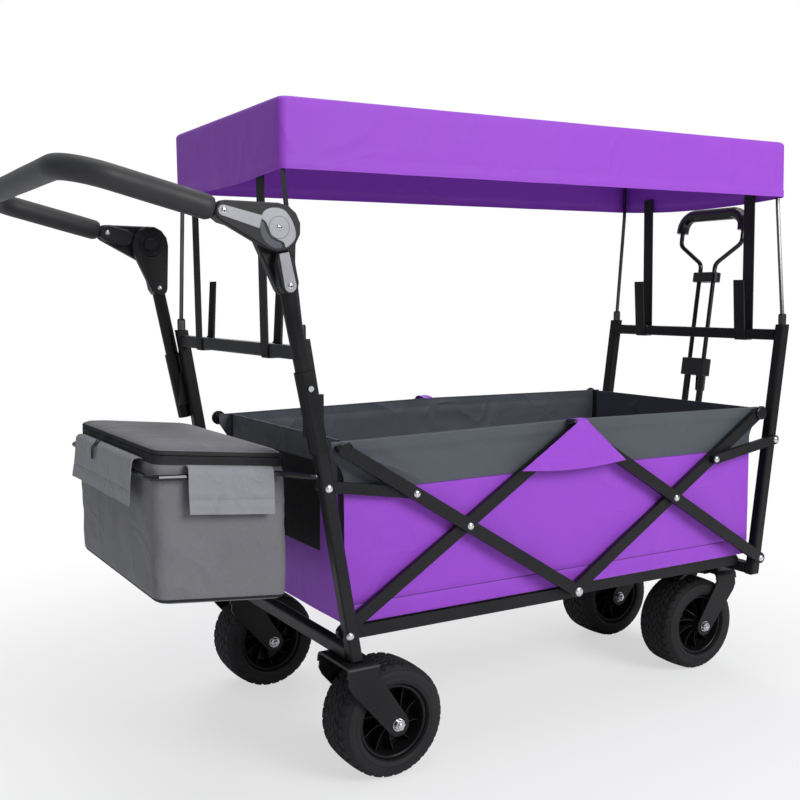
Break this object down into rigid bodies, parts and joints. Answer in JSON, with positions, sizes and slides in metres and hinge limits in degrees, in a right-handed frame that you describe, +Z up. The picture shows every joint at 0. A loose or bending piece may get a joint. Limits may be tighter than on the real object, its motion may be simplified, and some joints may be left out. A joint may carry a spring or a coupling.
{
  "type": "folding wagon",
  "caption": "Folding utility wagon with a fabric tub on scissor links, a canopy on bows, a push handle, a pull handle, swivel casters and a rear bag.",
  "frame": {"origin": "on the floor, under the middle of the bounding box of the open wagon", "axes": "+X to the pull handle, +Y to the wagon's left, +Z up"},
  "size_m": [1.4302, 0.5886, 1.0135],
  "materials": {
    "black_frame": "satin powder coat",
    "black_plastic": "fine grain",
    "hub": "moulded satin",
    "tyre": "moulded tread",
    "purple_cloth": "coated woven polyester",
    "grey_cloth": "coated woven polyester",
    "floor_cloth": "padded woven polyester",
    "foam": "foam with a fine skin",
    "bright_steel": "zinc plated"
  },
  "bodies": {
    "rear_frame": {"rear_post_left": "black_frame", "rear_post_right": "black_frame", "rear_upper_crossbar": "black_frame", "rear_lower_crossbar": "black_frame", "rear_fork_left": "black_frame", "rear_fork_right": "black_frame", "rear_canopy_bow": "black_frame", "canopy": "purple_cloth", "bag_body": "grey_cloth", "bag_rail": "black_frame"},
    "front_frame": {"front_post_left": "black_frame", "front_post_right": "black_frame", "front_upper_crossbar": "black_frame", "front_lower_crossbar": "black_frame", "front_canopy_bow": "black_frame"},
    "rear_inner_links": {"rear_inner_link_left": "black_frame", "rear_inner_link_right": "black_frame"},
    "rear_outer_links": {"rear_outer_link_left": "black_frame", "rear_outer_link_right": "black_frame"},
    "front_outer_links": {"front_outer_link_left": "black_frame", "front_outer_link_right": "black_frame"},
    "front_inner_links": {"front_inner_link_left": "black_frame", "front_inner_link_right": "black_frame"},
    "rear_stays": {"rear_stay_link_left": "black_frame", "rear_stay_link_right": "black_frame"},
    "front_stays": {"front_stay_link_left": "black_frame", "front_stay_link_right": "black_frame"},
    "tub_rear": {"tub_rear_wall": "purple_cloth", "tub_side_left": "purple_cloth", "tub_side_right": "purple_cloth"},
    "tub_front": {"tub_front_wall": "purple_cloth"},
    "bed_rear": {"bed_rear": "black_frame", "floor_rear": "floor_cloth"},
    "bed_front": {"bed_front": "black_frame", "floor_front": "floor_cloth"},
    "push_handle": {"push_tube_left": "black_frame", "push_tube_right": "black_frame"},
    "push_grip": {"push_grip": "foam", "knuckle_left": "black_plastic", "knuckle_right": "black_plastic"},
    "pull_handle": {"pull_tubes": "black_frame"},
    "pull_loop": {"pull_loop": "black_plastic"},
    "pull_lever": {"pull_lever": "black_plastic"},
    "bag_lid": {"bag_lid": "grey_cloth"},
    "wheel_rear_left": {"hub_rear_left": "hub", "tyre_rear_left": "tyre"},
    "wheel_front_left": {"hub_front_left": "hub", "tyre_front_left": "tyre"},
    "caster_left": {"caster_fork_left": "black_frame"},
    "brake_pedal_left": {"brake_pedal_left": "black_plastic"},
    "knuckle_button_left": {"knuckle_button_left": "black_plastic"},
    "snap_button_left": {"snap_button_left": "bright_steel"},
    "wheel_rear_right": {"hub_rear_right": "hub", "tyre_rear_right": "tyre"},
    "wheel_front_right": {"hub_front_right": "hub", "tyre_front_right": "tyre"},
    "caster_right": {"caster_fork_right": "black_frame"},
    "brake_pedal_right": {"brake_pedal_right": "black_plastic"},
    "knuckle_button_right": {"knuckle_button_right": "black_plastic"},
    "snap_button_right": {"snap_button_right": "bright_steel"}
  },
  "joints": [
    {"name": "fold", "type": "slide", "parent": "rear_frame", "child": "front_frame", "axis": [1, 0, 0], "range_m": [-0.668, 0], "deforming": ["canopy", "tub_side_left", "tub_side_right", "floor_rear", "floor_front"]},
    {"name": "rear_rising_links", "type": "hinge", "parent": "rear_frame", "child": "rear_inner_links", "pos_m": [-0.3038, 0, 0.2323], "axis": [0, -1, 0], "range_deg": [0, 46.08]},
    {"name": "rear_falling_links", "type": "hinge", "parent": "rear_inner_links", "child": "rear_outer_links", "pos_m": [-0.0828, 0, 0.37015], "axis": [0, -1, 0], "range_deg": [-92.16, 0]},
    {"name": "tub_rear_end", "type": "hinge", "parent": "rear_outer_links", "child": "tub_rear", "pos_m": [-0.3038, 0, 0.508], "axis": [0, -1, 0], "range_deg": [0, 46.08]},
    {"name": "front_rising_links", "type": "hinge", "parent": "front_frame", "child": "front_outer_links", "pos_m": [0.5802, 0, 0.2323], "axis": [0, 1, 0], "range_deg": [0, 46.08]},
    {"name": "front_falling_links", "type": "hinge", "parent": "front_outer_links", "child": "front_inner_links", "pos_m": [0.3592, 0, 0.37015], "axis": [0, 1, 0], "range_deg": [-92.16, 0]},
    {"name": "tub_front_end", "type": "hinge", "parent": "front_inner_links", "child": "tub_front", "pos_m": [0.5802, 0, 0.508], "axis": [0, 1, 0], "range_deg": [0, 46.08]},
    {"name": "rear_stay_turn", "type": "hinge", "parent": "rear_frame", "child": "rear_stays", "pos_m": [-0.33576, 0, 0.45591], "axis": [0, -1, 0], "range_deg": [0, 75.76]},
    {"name": "front_stay_turn", "type": "hinge", "parent": "front_frame", "child": "front_stays", "pos_m": [0.61217, 0, 0.45591], "axis": [0, 1, 0], "range_deg": [0, 75.76]},
    {"name": "bed_rear_rise", "type": "hinge", "parent": "rear_frame", "child": "bed_rear", "pos_m": [-0.2708, 0, 0.226], "axis": [0, -1, 0], "range_deg": [0, 79.43]},
    {"name": "bed_front_rise", "type": "hinge", "parent": "front_frame", "child": "bed_front", "pos_m": [0.5472, 0, 0.226], "axis": [0, 1, 0], "range_deg": [0, 79.43]},
    {"name": "rear_wheel_spin_left", "type": "hinge", "parent": "rear_frame", "child": "wheel_rear_left", "pos_m": [-0.2328, 0.2292, 0.089], "axis": [0, 1, 0], "continuous": true},
    {"name": "rear_wheel_spin_right", "type": "hinge", "parent": "rear_frame", "child": "wheel_rear_right", "pos_m": [-0.2328, -0.2292, 0.089], "axis": [0, 1, 0], "continuous": true},
    {"name": "caster_swivel_left", "type": "hinge", "parent": "front_frame", "child": "caster_left", "pos_m": [0.5767, 0.1212, 0.19], "axis": [0, 0, 1], "continuous": true},
    {"name": "front_wheel_spin_left", "type": "hinge", "parent": "caster_left", "child": "wheel_front_left", "pos_m": [0.5187, 0.1212, 0.089], "axis": [0, 1, 0], "continuous": true},
    {"name": "brake_press_left", "type": "hinge", "parent": "caster_left", "child": "brake_pedal_left", "pos_m": [0.5442, 0.1212, 0.187], "axis": [0, -1, 0], "range_deg": [0, 6]},
    {"name": "caster_swivel_right", "type": "hinge", "parent": "front_frame", "child": "caster_right", "pos_m": [0.5767, -0.1212, 0.19], "axis": [0, 0, 1], "continuous": true},
    {"name": "front_wheel_spin_right", "type": "hinge", "parent": "caster_right", "child": "wheel_front_right", "pos_m": [0.5187, -0.1212, 0.089], "axis": [0, 1, 0], "continuous": true},
    {"name": "brake_press_right", "type": "hinge", "parent": "caster_right", "child": "brake_pedal_right", "pos_m": [0.5442, -0.1212, 0.187], "axis": [0, -1, 0], "range_deg": [0, 6]},
    {"name": "handle_height", "type": "slide", "parent": "rear_frame", "child": "push_handle", "axis": [-0.1961, 0, 0.9806], "range_m": [0, 0.08]},
    {"name": "handle_angle", "type": "hinge", "parent": "push_handle", "child": "push_grip", "pos_m": [-0.4206, 0, 0.824], "axis": [0, 1, 0], "range_deg": [-36, 60]},
    {"name": "knuckle_press_left", "type": "slide", "parent": "push_handle", "child": "knuckle_button_left", "axis": [0, 1, 0], "range_m": [0, 0.003], "stiffness_N_per_m": 900, "springref_m": -0.001},
    {"name": "knuckle_press_right", "type": "slide", "parent": "push_handle", "child": "knuckle_button_right", "axis": [0, -1, 0], "range_m": [0, 0.003], "stiffness_N_per_m": 900, "springref_m": -0.001},
    {"name": "snap_press_left", "type": "slide", "parent": "rear_frame", "child": "snap_button_left", "axis": [0, -1, 0], "range_m": [0, 0.0025], "stiffness_N_per_m": 900, "springref_m": -0.001},
    {"name": "snap_press_right", "type": "slide", "parent": "rear_frame", "child": "snap_button_right", "axis": [0, 1, 0], "range_m": [0, 0.0025], "stiffness_N_per_m": 900, "springref_m": -0.001},
    {"name": "pull_swing", "type": "hinge", "parent": "front_frame", "child": "pull_handle", "pos_m": [0.60639, 0, 0.216], "axis": [0, 1, 0], "range_deg": [0, 80]},
    {"name": "pull_length", "type": "slide", "parent": "pull_handle", "child": "pull_loop", "axis": [0.1406, 0, 0.9901], "range_m": [-0.085, 0.22]},
    {"name": "pull_clamp", "type": "hinge", "parent": "pull_handle", "child": "pull_lever", "pos_m": [0.67433, 0, 0.56996], "axis": [0, -1, 0], "range_deg": [0, 95]},
    {"name": "lid_open", "type": "hinge", "parent": "rear_frame", "child": "bag_lid", "pos_m": [-0.3738, 0, 0.5063], "axis": [0, 1, 0], "range_deg": [0, 70]}
  ],
  "couplings": [
    {"joint": "rear_rising_links", "follows": "fold", "rad_per_m": -1.204},
    {"joint": "rear_falling_links", "follows": "fold", "rad_per_m": 2.408},
    {"joint": "tub_rear_end", "follows": "fold", "rad_per_m": -1.204},
    {"joint": "front_rising_links", "follows": "fold", "rad_per_m": -1.204},
    {"joint": "front_falling_links", "follows": "fold", "rad_per_m": 2.408},
    {"joint": "tub_front_end", "follows": "fold", "rad_per_m": -1.204},
    {"joint": "rear_stay_turn", "follows": "fold", "rad_per_m": -1.9793},
    {"joint": "front_stay_turn", "follows": "fold", "rad_per_m": -1.9793},
    {"joint": "bed_rear_rise", "follows": "fold", "rad_per_m": -2.0754},
    {"joint": "bed_front_rise", "follows": "fold", "rad_per_m": -2.0754}
  ]
}
